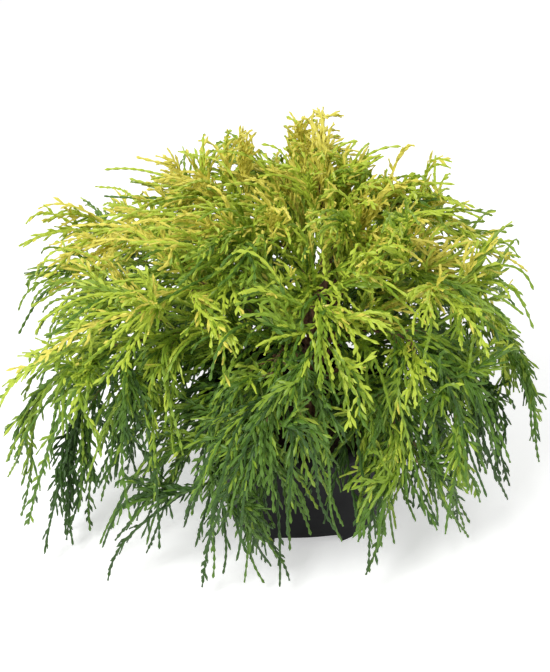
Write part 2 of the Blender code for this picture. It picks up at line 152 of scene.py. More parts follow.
def mottled(name, dark, pale, roughness, scale, bump, depth, stretch=(1, 1, 1)):
    # Noise on Object coordinates mixes two colours, and a finer noise gives the bump.
    material, _ = newMaterial(name, pale, roughness)
    tree = material.node_tree
    mapping = addNode(tree, "Mapping", Scale=stretch)
    tree.links.new(addNode(tree, "TexCoord").outputs["Object"], mapping.inputs["Vector"])
    vector = mapping.outputs["Vector"]
    ramp = addNode(tree, "ValToRGB")
    ends = ((mottle["darkEnd"], dark), (mottle["paleEnd"], pale))
    for element, (position, colour) in zip(ramp.color_ramp.elements, ends):
        element.position = position
        element.color = (*colour, 1.0)
    tree.links.new(addNoise(tree, vector, scale, mottle["detail"]), ramp.inputs["Fac"])
    tree.links.new(ramp.outputs["Color"], tree.nodes["Principled BSDF"].inputs["Base Color"])
    addBump(tree, addNoise(tree, vector, bump, mottle["bumpDetail"]), mottle["bumpStrength"], depth)
    return material


def meshObject(name, points, faces, material, smooth=False):
    # Points (n, 3) and faces (m, 3 or 4) go into the mesh as whole arrays.
    mesh = bpy.data.meshes.new(name)
    corners = faces.shape[1]
    mesh.vertices.add(len(points))
    mesh.vertices.foreach_set("co", np.ascontiguousarray(points, np.float32).ravel())
    mesh.loops.add(faces.size)
    mesh.loops.foreach_set("vertex_index", np.ascontiguousarray(faces, np.int32).ravel())
    mesh.polygons.add(len(faces))
    mesh.polygons.foreach_set("loop_start", np.arange(0, faces.size, corners, dtype=np.int32))
    mesh.polygons.foreach_set("loop_total", np.full(len(faces), corners, np.int32))
    mesh.polygons.foreach_set("use_smooth", np.full(len(faces), smooth))
    mesh.update(calc_edges=True)
    mesh.validate()
    mesh.materials.append(material)
    return addObject(name, mesh)


def gridFaces(rows, around):
    # Quads between neighbouring rings of points, closed round the rings.
    j = np.arange(around)
    a = np.arange(rows - 1)[:, None] * around + j
    b = np.arange(rows - 1)[:, None] * around + (j + 1) % around
    return np.stack([a, b, b + around, a + around], axis=-1).reshape(-1, 4)


def halves(quads):
    # Each quad as two triangles, one after the other.
    return np.stack([quads[:, [0, 1, 2]], quads[:, [0, 2, 3]]], axis=1).reshape(-1, 3)


def joined(parts):
    # The points and faces of several shapes, the faces counted on from the shapes before.
    starts = np.cumsum([0] + [len(points) for points, _ in parts[:-1]])
    faces = [found + start for (_, found), start in zip(parts, starts)]
    return np.concatenate([points for points, _ in parts]), np.concatenate(faces)


def tidyShell(made, sharp):
    # Merges the poles, points the faces outwards and keeps edges sharper than an angle.
    shape = bmesh.new()
    shape.from_mesh(made.data)
    bmesh.ops.remove_doubles(shape, verts=shape.verts[:], dist=1e-6)
    bmesh.ops.recalc_face_normals(shape, faces=shape.faces[:])
    for edge in shape.edges:
        if len(edge.link_faces) == 2 and edge.calc_face_angle(0.0) > sharp:
            edge.smooth = False
    shape.to_mesh(made.data)
    shape.free()


placeCamera()
setStage()
print("camera, floor and light are set")

# The crown's rule, as in the part's source: every limb and blade path is the same

growth = dict(
    seed=41, clear=0.0003, soilTop=0.0885, reach=(0.190, 0.190, 0.246, 0.158), roofTop=0.312,
    roofEdge=0.212, lowest=0.012, golden=0.618, leaderTries=25, leaderNudge=0.003, threadTries=9,
    threadNudge=0.006)
trunkForm = dict(
    foot=(0.004, -0.004), tip=(0.026, 0.030, 0.236), footRadius=0.0068, tipRadius=0.0021, flare=0.0042,
    flareHeight=0.007, sides=12, rings=15, leave=(0.001, 0.001, 0.4), arrive=(0.006, 0.010, 0.35),
    footRings=(0.003, 0.007), ribs=4, ribDepth=0.16, ribTurn=0.7)
boughForm = dict(
    sides=5, foot=0.0027, tip=0.0014, usualReach=0.19, near=0.55, far=0.45, lengthJitter=0.08,
    heightJitter=0.006, turnJitter=0.16, leave=0.42, outward=0.75, arrive=0.36, arriveRise=0.28,
    hangShare=0.5, ease=0.25, tries=20, tryStep=0.17, fine=33, coarse=6, smooth=60, outside=0.0045,
    margin=1.5)
# A blade's tapers are those of its width, its teeth and its depth.
bladeForm = dict(
    step=0.0164, fewest=6, ridge=0.0011, keel=0.0005, narrow=0.0010, tooth=0.0126, forward=0.7, tip=0.45,
    ramp=0.1, end=1.02, tapers=((1.25, 0.55), (1.0, 0.25), (1.15, 0.5)),
    leader=(0.05, 0.2), side=(0.04, 0.25), topLeader=(0.15, 0.3), topSide=(0.1, 0.3))
sideForm = dict(
    first=0.03, run=0.58, narrowing=0.62, scatter=0.15, widthScatter=0.3, leaderScatter=0.1,
    leaderDepth=(0.3, 0.6), turn=0.75, lift=0.12, leaderTwist=0.25, twist=0.6)
archForm = dict(leave=0.42, arrive=0.40, ease=0.15, drawn=81, measured=40)
swayForm = dict(reach=0.0028, phase=6.28, rate=(4.0, 7.0))
topForm = dict(
    threads=6, height=0.322, lean=(-0.008, 0.012), stand=0.03, bow=0.004, rings=10, seat=1.5,
    hint=(1.0, 0.2, 0.0), turn=2.4, first=0.5, spread=0.045, rise=(0.028, 0.05), third=0.3, leaveLift=0.016,
    arriveLift=0.006)
tierNames = ("name", "count", "turn", "rise", "hang", "threads", "tipRadius", "tipHeight",
             "centre", "leaves", "reach", "drop")
tiers = [dict(zip(tierNames, row)) for row in (
    ("crown", 5, 20.0, 1.0, 0.15, 5, 0.030, 0.240,
     (0.012, 0.026), (0.176, 0.204), (0.24, 0.60), (-0.012, 0.026)),
    ("upper", 6, -26.0, 0.8, 0.35, 7, 0.058, 0.222,
     (0.006, 0.016), (0.148, 0.172), (0.46, 0.92), (-0.010, 0.046)),
    ("shoulder", 7, 5.0, 0.65, 0.72, 7, 0.076, 0.190,
     (0.0, 0.006), (0.122, 0.146), (0.64, 1.0), (0.025, 0.165)),
    ("skirt", 6, 2.0, 0.55, 0.75, 6, 0.074, 0.147,
     (0.0, 0.0), (0.099, 0.118), (0.62, 0.86), (0.125, 0.235)),
)]


def unit(vectors):
    return vectors / (norm(vectors, axis=-1, keepdims=True) + 1e-12)


def turnedWay(way, turn, lift):
    # A direction turned about the vertical by an angle and lifted by a height.
    return np.array([way[0] * math.cos(turn) - way[1] * math.sin(turn),
                     way[0] * math.sin(turn) + way[1] * math.cos(turn), way[2] + lift])


def reachTowards(azimuth):
    # The four named reaches joined by cosines.
    quarter = (azimuth % math.tau) / (math.pi / 2)
    near = int(quarter) % 4
    blend = 0.5 - 0.5 * math.cos(math.pi * (quarter - int(quarter)))
    return growth["reach"][near] * (1 - blend) + growth["reach"][(near + 1) % 4] * blend


def roofAt(width):
    # The roof falls with the square of the share of the reach.
    return growth["roofTop"] - (growth["roofTop"] - growth["roofEdge"]) * width**2


def bezier(start, leave, arrive, end, count):
    # A cubic curve with these four controls, its points evenly spaced by length.
    t = np.linspace(0.0, 1.0, archForm["drawn"])[:, None]
    curve = (1 - t) ** 3 * start + 3 * t * (1 - t) ** 2 * leave + 3 * t**2 * (1 - t) * arrive + t**3 * end
    along = np.concatenate([[0.0], np.cumsum(norm(np.diff(curve, axis=0), axis=1))])
    wanted = np.linspace(0.0, along[-1], count)
    return np.stack([np.interp(wanted, along, curve[:, k]) for k in range(3)], axis=1)


def tangentsOf(path):
    tangent = np.gradient(path, axis=0)
    return tangent / norm(tangent, axis=1)[:, None]


def framesAlong(path, sideHint):
    # Tangent, side and normal at each point, the side carried both ways from the middle.
    tangent = tangentsOf(path)
    side = np.empty_like(tangent)
    middle = len(path) // 2
    for order in (range(middle, len(path)), range(middle, -1, -1)):
        carried = sideHint
        for k in order:
            carried = carried - (carried @ tangent[k]) * tangent[k]
            carried = carried / norm(carried)
            side[k] = carried
    return tangent, side, np.cross(tangent, side)


def ringFaces(rings, around):
    # Triangles between neighbouring rings, and a fan over each end.
    last = (rings - 1) * around
    fans = [((0, j + 1, j), (last, last + j, last + j + 1)) for j in range(1, around - 1)]
    return np.concatenate([halves(gridFaces(rings, around)), np.reshape(fans, (-1, 3))])


def anglesRound(count):
    return np.arange(count) * math.tau / count


def ringAround(side, normal, around):
    # Directions round each point of a path, evenly spaced.
    angle = anglesRound(around)[None, :, None]
    return np.cos(angle) * side[:, None, :] + np.sin(angle) * normal[:, None, :]


def limb(path, radii, sides, sideHint):
    # A tapering rod: a regular polygon of the given radius at each point of the path.
    _, side, normal = framesAlong(path, sideHint)
    points = path[:, None, :] + radii[:, None, None] * ringAround(side, normal, sides)
    return points.reshape(-1, 3), ringFaces(len(path), sides)


def blade(path, sideHint, bare, whip, fat=0.0):
    # A three-sided rod whose left and right edges stand out by turns, not on the bare root or the whip.
    tangent, side, normal = framesAlong(path, sideHint)
    count = len(path)
    share = np.linspace(0.0, 1.0, count)
    wide, out, deep = (high - fall * share for high, fall in bladeForm["tapers"])
    ramp = bladeForm["ramp"]
    fade = (bladeForm["end"] - whip * 0.5 - share) / (whip + ramp)
    swell = np.clip((share - bare) / ramp, 0, 1) * np.clip(fade, 0, 1)
    narrow = bladeForm["narrow"] * wide + fat
    tooth = bladeForm["tooth"] * swell * out
    step = norm(path[-1] - path[-2])
    turn = np.arange(count) % 2
    turn[-1] = 2
    forward = bladeForm["forward"] * step * np.clip(tooth / bladeForm["tooth"], 0, 1)
    rows = np.empty((count, 3, 3))
    for edge, way in enumerate((-side, side)):
        width = narrow + np.where(turn == edge, tooth, 0.0)
        rows[:, edge] = path + way * width[:, None] + tangent * (forward * (turn == edge))[:, None]
    rows[:, 2] = path + normal * (bladeForm["ridge"] * deep + fat)[:, None]
    rows[:, :2] -= normal[:, None, :] * (bladeForm["keel"] * deep + fat)[:, None, None]
    rows[-1] = path[-1] + (rows[-1] - path[-1]) * bladeForm["tip"]
    faces = ringFaces(count, 3)
    for k in range(0, count - 1, 2):
        faces[6 * k] = (3 * k, 3 * k + 1, 3 * k + 3)
        faces[6 * k + 1] = (3 * k + 1, 3 * k + 4, 3 * k + 3)
    return rows.reshape(-1, 3), faces


def treeOf(shape):
    points, faces = shape
    return BVHTree.FromPolygons(points.tolist(), faces.tolist())


def trunkPath(count):
    # A cubic curve from the foot on the soil to the tip, upright at both ends but for a small lean.
    foot = np.array([*trunkForm["foot"], growth["soilTop"] + growth["clear"]])
    tip = np.array(trunkForm["tip"])
    rise = np.array([1.0, 1.0, tip[2] - foot[2]])
    leave, arrive = trunkForm["leave"] * rise, trunkForm["arrive"] * rise
    return bezier(foot, foot + leave, tip - arrive, tip, count)


def trunkRadii(path):
    # A straight taper, plus a flare that fades with the height over the foot.
    share = (path[:, 2] - path[0, 2]) / (path[-1, 2] - path[0, 2])
    taper = trunkForm["footRadius"] * (1 - share) + trunkForm["tipRadius"] * share
    return taper + trunkForm["flare"] * np.exp(-(path[:, 2] - path[0, 2]) / trunkForm["flareHeight"])


def trunkShape():
    # The source's trunk: a rod with ribs on the three rings at its foot.
    path = trunkPath(trunkForm["rings"])
    low, high = trunkForm["footRings"]
    spread = np.concatenate([path[:1], path[:1] + (0, 0, low), path[:1] + (0, 0, high), path[1:]])
    sides = trunkForm["sides"]
    points, faces = limb(spread, trunkRadii(spread), sides, np.array([1.0, 0, 0]))
    points = points.reshape(len(spread), sides, 3)
    angle = np.arange(sides) * math.tau * trunkForm["ribs"] / sides
    ribs = 1 + trunkForm["ribDepth"] * np.cos(angle + trunkForm["ribTurn"])
    for k in range(3):
        points[k] = spread[k] + (points[k] - spread[k]) * (1 + (ribs[:, None] - 1) * (1 - k / 3))
    points[0, :, 2] = growth["soilTop"] + growth["clear"]
    return points.reshape(-1, 3), faces


def pointAt(azimuth, radius, height, centre=(0.0, 0.0)):
    return np.array([centre[0] + radius * math.cos(azimuth), centre[1] + radius * math.sin(azimuth), height])


def boughPath(tier, share, azimuth, jitter, count):
    # From the trunk's middle, at a share of the tier's heights, up and out in an arch to the tip.
    low, high = tier["leaves"]
    height = low + (high - low) * share
    trunk = trunkPath(boughForm["smooth"])
    foot = trunk[np.argmin(abs(trunk[:, 2] - height))]
    scale = reachTowards(azimuth) / boughForm["usualReach"]
    radius = tier["tipRadius"] * (boughForm["near"] + boughForm["far"] * scale)
    radius = radius * (1 + boughForm["lengthJitter"] * jitter)
    height = tier["tipHeight"] + boughForm["heightJitter"] * jitter
    tip = pointAt(azimuth, radius, height, tier["centre"])
    outward = pointAt(azimuth, 1.0, 0.0)
    span = norm(tip - foot)
    leave = outward * boughForm["outward"] + up * tier["rise"]
    rise = boughForm["arriveRise"] - boughForm["hangShare"] * tier["hang"] + boughForm["ease"]
    arrive = outward + up * rise
    start, end = foot + span * boughForm["leave"] * leave, tip - span * boughForm["arrive"] * arrive
    return bezier(foot, start, end, tip, count)


class Crown:
    # Keeps every limb and blade placed so far, so that the same draws pass as in the source.
    def __init__(self):
        self.taken = []

    def add(self, owner, *shapes):
        self.taken += [(owner, treeOf(shape)) for shape in shapes]

    def free(self, owner, shape, beyondRoot=None, siblings=()):
        # Whether a shape crosses neither itself, another owner's shape, nor a sibling past its root.
        tree = treeOf(shape)
        if beyondRoot and any(treeOf(beyondRoot).overlap(treeOf(other)) for other in siblings):
            return False
        corners = [set(face) for face in shape[1].tolist()]
        if any(not corners[a] & corners[b] for a, b in tree.overlap(tree)):
            return False
        return not any(other != owner and tree.overlap(found) for other, found in self.taken)


def placeBough(name, crown, tier, order, azimuth, jitter):
    # The first height on the trunk that keeps the bough clear of the others, outside the trunk.
    for attempt in range(boughForm["tries"]):
        share = ((order + 1) * growth["golden"] + boughForm["tryStep"] * attempt) % 1.0
        fine = boughPath(tier, share, azimuth, jitter, boughForm["fine"])
        outside = norm(fine - fine[0], axis=1) > boughForm["outside"]
        radii = np.linspace(boughForm["foot"], boughForm["tip"], boughForm["fine"])[outside]
        bare = limb(fine[outside], radii + boughForm["margin"] * growth["clear"], boughForm["sides"], up)
        if crown.free(name, bare):
            break
    crown.add(name, bare)
    return share


def threadEnd(tier, azimuth, width, depth):
    # A point at a share of the crown's reach, hung below the crown's roof.
    shallow, deep = tier["drop"]
    height = roofAt(width) - shallow - (deep - shallow) * depth
    return pointAt(azimuth, reachTowards(azimuth) * width, max(height, growth["lowest"]))


def massThreads(tier, azimuth, rng):
    # The leader's end, then each side thread's place on the leader, sideways turn and end.
    half = math.pi / tier["count"]
    near, far = tier["reach"]
    aside = sideForm["leaderScatter"] * half * rng.uniform(-1, 1)
    threads = [threadEnd(tier, azimuth + aside, far, rng.uniform(*sideForm["leaderDepth"]))]
    scatter = sideForm["scatter"]
    for k in range(tier["threads"]):
        order = k / tier["threads"]
        side = 1 if k % 2 else -1
        share = sideForm["first"] + sideForm["run"] * order
        spread = side * half * (1.0 - sideForm["narrowing"] * order + rng.uniform(-scatter, scatter))
        depth = (k * growth["golden"] + rng.uniform(-scatter, scatter)) % 1.0
        width = near + (far - near) * min(1.0, order + rng.uniform(0.0, sideForm["widthScatter"]))
        threads.append((share, spread, threadEnd(tier, azimuth + spread, width, depth)))
    return threads


def arch(start, heading, end, hang):
    # Controls of a thread that leaves along its heading and comes down to its end.
    span = norm(end - start)
    leave = start + heading * span * archForm["leave"]
    away = end - start
    away[2] = 0.0
    away = away / (norm(away) + 1e-9)
    down = away * (1 - hang) - up * hang + up * archForm["ease"]
    arrive = end - down / norm(down) * span * archForm["arrive"]
    return start, leave, arrive, end


def lengthOf(controls):
    return norm(np.diff(bezier(*controls, archForm["measured"]), axis=0), axis=1).sum()


def stepsFor(controls):
    return max(bladeForm["fewest"], int(round(lengthOf(controls) / bladeForm["step"])) + 1)


def drawSway(rng):
    phase = rng.uniform(0, swayForm["phase"], 3)
    return phase, rng.uniform(*swayForm["rate"])


def wandered(path, sway):
    # A slow sideways wander, none at the root, or the path as it is.
    if sway is None:
        return path
    phase, rate = sway
    share = np.linspace(0, 1, len(path))[:, None]
    return path + swayForm["reach"] * share * (np.sin(share * rate + phase) - np.sin(phase))


def across(path, rng, twist):
    # The direction of a blade's width: level and across the path, turned a little.
    run = path[-1] - path[0]
    level = np.array([-run[1], run[0], 0.0])
    level /= norm(level) + 1e-9
    high = np.cross(run / norm(run), level)
    turn = rng.uniform(-twist, twist)
    return level * math.cos(turn) + high * math.sin(turn)


def growMass(name, crown, tier, azimuth, tip, heading, rng):
    # The blades that the source keeps, each as (controls, sway or None, width direction).
    clear = growth["clear"]
    planned = massThreads(tier, azimuth, rng)
    for attempt in range(growth["leaderTries"]):
        nudge = rng.uniform(-1, 1, 3) * growth["leaderNudge"] * attempt
        controls = arch(tip, heading, planned[0] + nudge, tier["hang"])
        sway = drawSway(rng)
        leader = wandered(bezier(*controls, stepsFor(controls)), sway)
        hint = across(leader, rng, sideForm["leaderTwist"])
        if crown.free(name, blade(leader, hint, *bladeForm["leader"], clear)):
            break
    shapes, kept = [blade(leader, hint, *bladeForm["leader"])], [(controls, sway, hint)]
    tangent = tangentsOf(leader)
    for share, spread, end in planned[1:]:
        place = min(len(leader) - 2, max(1, int(round(share * len(leader)))))
        for attempt in range(growth["threadTries"]):
            moved = end + rng.uniform(-1, 1, 3) * growth["threadNudge"] * attempt
            moved[2] = max(moved[2], growth["lowest"])
            way = turnedWay(tangent[place], sideForm["turn"] * np.sign(spread), sideForm["lift"])
            controls = arch(leader[place], way / norm(way), moved, tier["hang"])
            sway = drawSway(rng)
            path = wandered(bezier(*controls, stepsFor(controls)), sway)
            hint = across(path, rng, sideForm["twist"])
            pastRoot = limb(path[1:], np.full(len(path) - 1, 2 * bladeForm["narrow"]), 3, hint)
            if crown.free(name, blade(path, hint, *bladeForm["side"], clear), pastRoot, shapes):
                shapes.append(blade(path, hint, *bladeForm["side"]))
                kept.append((controls, sway, hint))
                break
    crown.add(name, *shapes)
    return kept


def growTop(crown, rng):
    # The tuft on the trunk's tip: short threads that stand up and lean out all round.
    tip = np.array(trunkForm["tip"]) + (0.0, 0.0, growth["clear"] * topForm["seat"])
    end = tip + (*topForm["lean"], topForm["height"] - tip[2])
    leave, arrive = (0.0, 0.0, topForm["stand"]), (0.0, topForm["bow"], topForm["stand"])
    controls = (tip, tip + leave, end - arrive, end)
    sway = drawSway(rng)
    leader = wandered(bezier(*controls, topForm["rings"]), sway)
    hint = np.array(topForm["hint"])
    shapes, kept = [blade(leader, hint, *bladeForm["topLeader"])], [(controls, sway, hint)]
    for k in range(topForm["threads"]):
        azimuth = k * topForm["turn"] + topForm["first"]
        root = leader[1 + k % 4]
        end = root + pointAt(azimuth, topForm["spread"], rng.uniform(*topForm["rise"]))
        third = (end - root) * topForm["third"]
        leave, arrive = up * topForm["leaveLift"], up * topForm["arriveLift"]
        controls = (root, root + third + leave, end - third + arrive, end)
        path = bezier(*controls, stepsFor(controls))
        hint = across(path, rng, sideForm["twist"])
        if crown.free("top_tuft", blade(path, hint, *bladeForm["topSide"], growth["clear"])):
            shapes.append(blade(path, hint, *bladeForm["topSide"]))
            kept.append((controls, None, hint))
    crown.add("top_tuft", *shapes)
    return kept


def growCrown():
    # All boughs first, then the tuft on top and the masses, in the source's order of draws.
    crown = Crown()
    rng = np.random.RandomState(growth["seed"])
    boughs, masses = [], []
    for tier in tiers:
        for k in range(tier["count"]):
            order = (k + boughForm["turnJitter"] * rng.uniform(-1, 1)) * math.tau / tier["count"]
            azimuth, jitter = math.radians(tier["turn"]) + order, rng.uniform(-1, 1)
            share = placeBough(f"{tier['name']}_bough_{k + 1}", crown, tier, k, azimuth, jitter)
            boughs.append(boughPath(tier, share, azimuth, jitter, boughForm["smooth"]))
            path = boughPath(tier, share, azimuth, jitter, boughForm["coarse"])
            heading = path[-1] - path[-2]
            heading /= norm(heading)
            name = f"{tier['name']}_mass_{k + 1}"
            masses.append((name, tier, azimuth, path[-1] + heading * growth["clear"], heading))
    crown.add("trunk", trunkShape())
    grown = [(None, growTop(crown, rng))]
    for name, tier, azimuth, tip, heading in masses:
        grown.append((tier, growMass(name, crown, tier, azimuth, tip, heading, rng)))
    return boughs, grown


boughs, grown = growCrown()
print("the crown has", len(boughs), "boughs and", sum(len(kept) for _, kept in grown), "blade paths")

# Threads of scale leaves

# A thread's waist and tooth are the half-widths between and at its leaf tips.
threadForm = dict(
    seed=7, node=0.0036, fewest=6, stem=(0.00060, 0.00178), twig=(0.00050, 0.00145), ahead=0.42, root=1.06,
    taper=0.32, tip=0.6, twist=1.2, topHang=0.05, most=190000, batch=8000)
# Finer threads beside each blade path, every other one short.
companionForm = dict(
    count=7, topCount=5, leave=(0.02, 0.45), turn=0.8, lift=(-0.15, 0.35), stop=(0.55, 0.9), aside=0.019,
    upright=0.9, rise=0.016, sink=0.05, sinkFrom=0.7, edge=1.02, underTop=0.002)
# Threads from the boughs fill the crown's face: for each tier their number, the share of the
# reach at their ends and how far those hang below the roof.
faceForm = dict(
    crown=(11, (0.10, 0.50), (-0.006, 0.030)), upper=(16, (0.25, 0.74), (0.000, 0.060)),
    shoulder=(20, (0.30, 0.88), (0.015, 0.150)), skirt=(29, (0.48, 0.84), (0.110, 0.285)), spread=1.15,
    lowest=0.02, lift=0.25, fewest=8)
# Side twigs: most of a thread carries them, and a bare whip is left at its end.
twigForm = dict(
    length=(0.007, 0.019), longFew=1.4, angle=(0.42, 0.74), chance=0.52, tilt=0.45, whip=(0.80, 1.0),
    longWhip=(0.50, 0.75), longWhips=0.3, rootShare=0.12, rootLeast=0.25, fade=0.45, least=0.35, lean=0.30,
    droop=0.16, nodes=(3, 8))
forkForm = dict(fewest=5, long=7, turn=(0.55, 0.85), length=(0.35, 0.55))
# The tones from shade to sun: name, colour and roughness. The darker ones stand partly for the plant's
# greener inner growth and partly for painted shade, the lighter ones partly for its golden outer growth and
# partly for painted light.
tones = (("deep", (0.038, 0.100, 0.010), 0.55), ("green", (0.095, 0.200, 0.016), 0.55),
         ("fresh", (0.220, 0.345, 0.022), 0.5), ("lime", (0.480, 0.600, 0.055), 0.5),
         ("gold", (0.760, 0.690, 0.110), 0.5))
leafBump = dict(scale=900.0, detail=2.0, strength=0.4, depth=0.0003)
toneForm = dict(
    least=0.70, byHeight=2.75, byReach=0.55, foot=0.085, span=0.20, heights=(-0.3, 1.1),
    centre=(0.01, 0.02), reach=0.2, inner=0.3, chance=0.42, family=0.5, thread=0.25, face=0.4, stem=-0.35,
    outward=0.35, fork=0.25)
# Places where the photo shows golden sprays: centre, radius and how many tones lighter. The lift is partly
# the sprays' golden colour and partly painted light.
sunny = (((0.085, -0.030, 0.215), 0.060, 1.3), ((0.170, 0.020, 0.205), 0.055, 1.0),
         ((0.010, 0.060, 0.300), 0.080, 0.8), ((-0.110, 0.060, 0.270), 0.080, 0.7),
         ((0.060, -0.110, 0.110), 0.040, 0.9))


def threadMesh(paths, plane, waist, tooth):
    # Four-sided rods, (m, n, 3) paths at once: opposite corners stand out and forward as a pair
    # of leaf tips, the pairs by turns across and along the plane's normal, thinner to the end.
    m, n, _ = paths.shape
    node = np.arange(n)
    tangent = unit(np.gradient(paths, axis=1))
    side = unit(plane[:, None, :] - (plane[:, None, :] * tangent).sum(-1, keepdims=True) * tangent)
    normal = np.cross(tangent, side)
    thin = threadForm["root"] - threadForm["taper"] * np.linspace(0, 1, n)
    thin = thin * np.where(node == n - 1, threadForm["tip"], 1.0)
    step = norm(paths[:, 1] - paths[:, 0], axis=-1)
    rings = np.empty((m, n, 4, 3))
    for j, axis in enumerate((side, normal, -side, -normal)):
        out = (node % 2 == j % 2) & (node > 0)
        radius = np.where(out, tooth, waist) * thin
        ahead = threadForm["ahead"] * step[:, None] * (out & (node < n - 1))
        rings[:, :, j] = paths + axis * radius[:, None] + tangent * ahead[..., None]
    caps = np.array([[3, 2, 1, 0], [*range(4 * n - 4, 4 * n)]])
    one = np.concatenate([gridFaces(n, 4), caps])
    faces = one[None] + (np.arange(m) * 4 * n)[:, None, None]
    return rings.reshape(-1, 3), faces.reshape(-1, 4)


def toneOf(place, lift, rng):
    # A tone number by height, by reach from the trunk and by the sunny places, with some chance. Higher,
    # outer and sunny threads get lighter tones and lower, inner ones darker: partly the plant's own golden
    # and green growth, partly painted light and painted shade.
    height = np.clip((place[:, 2] - toneForm["foot"]) / toneForm["span"], *toneForm["heights"])
    out = norm(place[:, :2] - toneForm["centre"], axis=1) / toneForm["reach"]
    out = np.clip(out - toneForm["inner"], 0, 1)
    tone = toneForm["least"] + toneForm["byHeight"] * height + toneForm["byReach"] * out + lift
    for centre, radius, lighter in sunny:
        tone = tone + lighter * np.exp(-((place - centre) ** 2).sum(axis=1) / radius**2)
    return tone + toneForm["chance"] * rng.standard_normal(len(place))


def companion(path, hang, short, rng):
    # A finer thread from the same path, its end a little aside, inside the crown's reach.
    # A short one ends on the way and a little higher, which fills the crown's face.
    form = companionForm
    last = len(path) - 1
    k = int(len(path) * rng.uniform(*form["leave"]))
    way = unit(path[min(k + 2, last)] - path[k])
    way = turnedWay(way, rng.uniform(-form["turn"], form["turn"]), rng.uniform(*form["lift"]))
    stop = int(last * rng.uniform(*form["stop"])) if short else last
    end = path[stop] + rng.uniform(-1, 1, 3) * form["aside"] * (1.0, 1.0, form["upright"])
    if short:
        end = end + up * rng.uniform(0.0, form["rise"])
    else:
        end = end - up * form["sink"] * rng.uniform() * (hang > form["sinkFrom"])
    azimuth = math.atan2(end[1], end[0])
    over = norm(end[:2]) / (reachTowards(azimuth) * form["edge"])
    end[:2] = end[:2] / max(1.0, over)
    end[2] = min(max(end[2], growth["lowest"]), topForm["height"] - form["underTop"])
    return arch(path[k], unit(way), end, hang)


def nodesOn(controls):
    return int(round(lengthOf(controls) / threadForm["node"]))


def drawThread(controls, fewest, rng):
    # A wandering path with a node for each leaf pair, and the direction of its width.
    path = wandered(bezier(*controls, max(fewest, nodesOn(controls))), drawSway(rng))
    return path, across(path, rng, threadForm["twist"])


def gatherThreads(rng):
    # Every main thread as (path, tangent, side, normal, lift): the blade paths, their companions
    # and the threads on the boughs.
    threads = []
    for tier, kept in grown:
        hang = tier["hang"] if tier else threadForm["topHang"]
        more = companionForm["count"] if tier else companionForm["topCount"]
        for controls, sway, hint in kept:
            lift = toneForm["family"] * rng.standard_normal()
            path = bezier(*controls, max(threadForm["fewest"], nodesOn(controls)))
            family = [(wandered(path, sway), hint)]
            for number in range(more):
                extra = companion(path, hang, number % 2 == 0, rng)
                if nodesOn(extra) >= threadForm["fewest"]:
                    family.append(drawThread(extra, threadForm["fewest"], rng))
            for thread, wide in family:
                own = toneForm["thread"] * rng.standard_normal()
                threads.append((thread, *framesAlong(thread, wide), lift + own))
    for k, path in enumerate(boughs):
        threads += faceThreads(path, grown[k + 1][0], rng)
    return threads


def faceThreads(bough, tier, rng):
    # Threads from the outer part of a bough to ends spread round its azimuth under the roof.
    number, reach, drop = faceForm[tier["name"]]
    run = bough[-1] - bough[0]
    azimuth = math.atan2(run[1], run[0])
    half = math.pi / tier["count"]
    made = []
    for _ in range(number):
        at = rng.randint(len(bough) // 3, len(bough) - 1)
        turn = half * rng.uniform(-faceForm["spread"], faceForm["spread"])
        width, depth = rng.uniform(*reach), rng.uniform(*drop)
        height = max(roofAt(width) - depth, faceForm["lowest"])
        end = pointAt(azimuth + turn, reachTowards(azimuth + turn) * width, height)
        way = turnedWay(unit(bough[at + 1] - bough[at]), turn, faceForm["lift"])
        controls = arch(bough[at], unit(way), end, tier["hang"])
        path, wide = drawThread(controls, faceForm["fewest"], rng)
        made.append((path, *framesAlong(path, wide), toneForm["face"] * rng.standard_normal()))
    return made


def growTwigs(threads, rng):
    # Side twigs of all threads, left and right by turns, a row of one array for each.
    # Its columns: 0 root, 3 heading, 6 the thread's run, 9 the twig's plane, 12 length, 13 lift.
    form = twigForm
    rows = []
    low, high = form["length"]
    for path, tangent, side, normal, lift in threads:
        n = len(path)
        node = np.arange(2, n - 2)
        node = node[rng.uniform(size=len(node)) < form["chance"]]
        share = node / (n - 1)
        whip = rng.uniform(*(form["longWhip"] if rng.uniform() < form["longWhips"] else form["whip"]))
        swell = np.clip(share / form["rootShare"], form["rootLeast"], 1)
        swell = swell * np.clip((whip - share) / form["fade"], 0.0, 1)
        length = low + (high - low) * rng.uniform(size=len(node)) ** form["longFew"]
        length = length * (form["least"] + (1 - form["least"]) * swell)
        node, share, length = node[share < whip], share[share < whip], length[share < whip]
        angle = rng.uniform(*form["angle"], len(node))
        tilt = rng.normal(0, form["tilt"], len(node))
        hand = np.where(node % 2 == 0, 1.0, -1.0)
        wide = side[node] * (hand * np.cos(tilt))[:, None] + normal[node] * np.sin(tilt)[:, None]
        heading = tangent[node] * np.cos(angle)[:, None] + wide * np.sin(angle)[:, None]
        plane = np.cross(tangent[node], wide)
        own = lift + toneForm["outward"] * share
        rows.append(np.column_stack([path[node], heading, tangent[node], plane, length, own]))
    return np.concatenate(rows)


def twigPaths(rows, n):
    # Root + heading s + a lean towards the thread's run and down that grows with s squared.
    s = np.linspace(0, 1, n)[None, :, None]
    root, heading, run = rows[:, None, :3], rows[:, None, 3:6], rows[:, None, 6:9]
    lean = twigForm["lean"] * run - twigForm["droop"] * up
    return root + rows[:, None, 12:13] * (heading * s + lean * s**2)


def growForks(rows, paths, rng):
    # Rows of one short fork on each twig, turned off its run in the twig's own plane.
    n = paths.shape[1]
    at = 1 + (n >= forkForm["long"])
    run = unit(paths[:, at + 1] - paths[:, at])
    turn = rng.choice([-1.0, 1.0], len(rows)) * rng.uniform(*forkForm["turn"], len(rows))
    aside = unit(np.cross(rows[:, 9:12], run))
    forks = rows.copy()
    forks[:, :3] = paths[:, at]
    forks[:, 3:6] = run * np.cos(turn)[:, None] + aside * np.sin(turn)[:, None]
    forks[:, 6:9] = run
    forks[:, 12] = rows[:, 12] * rng.uniform(*forkForm["length"], len(rows))
    return forks


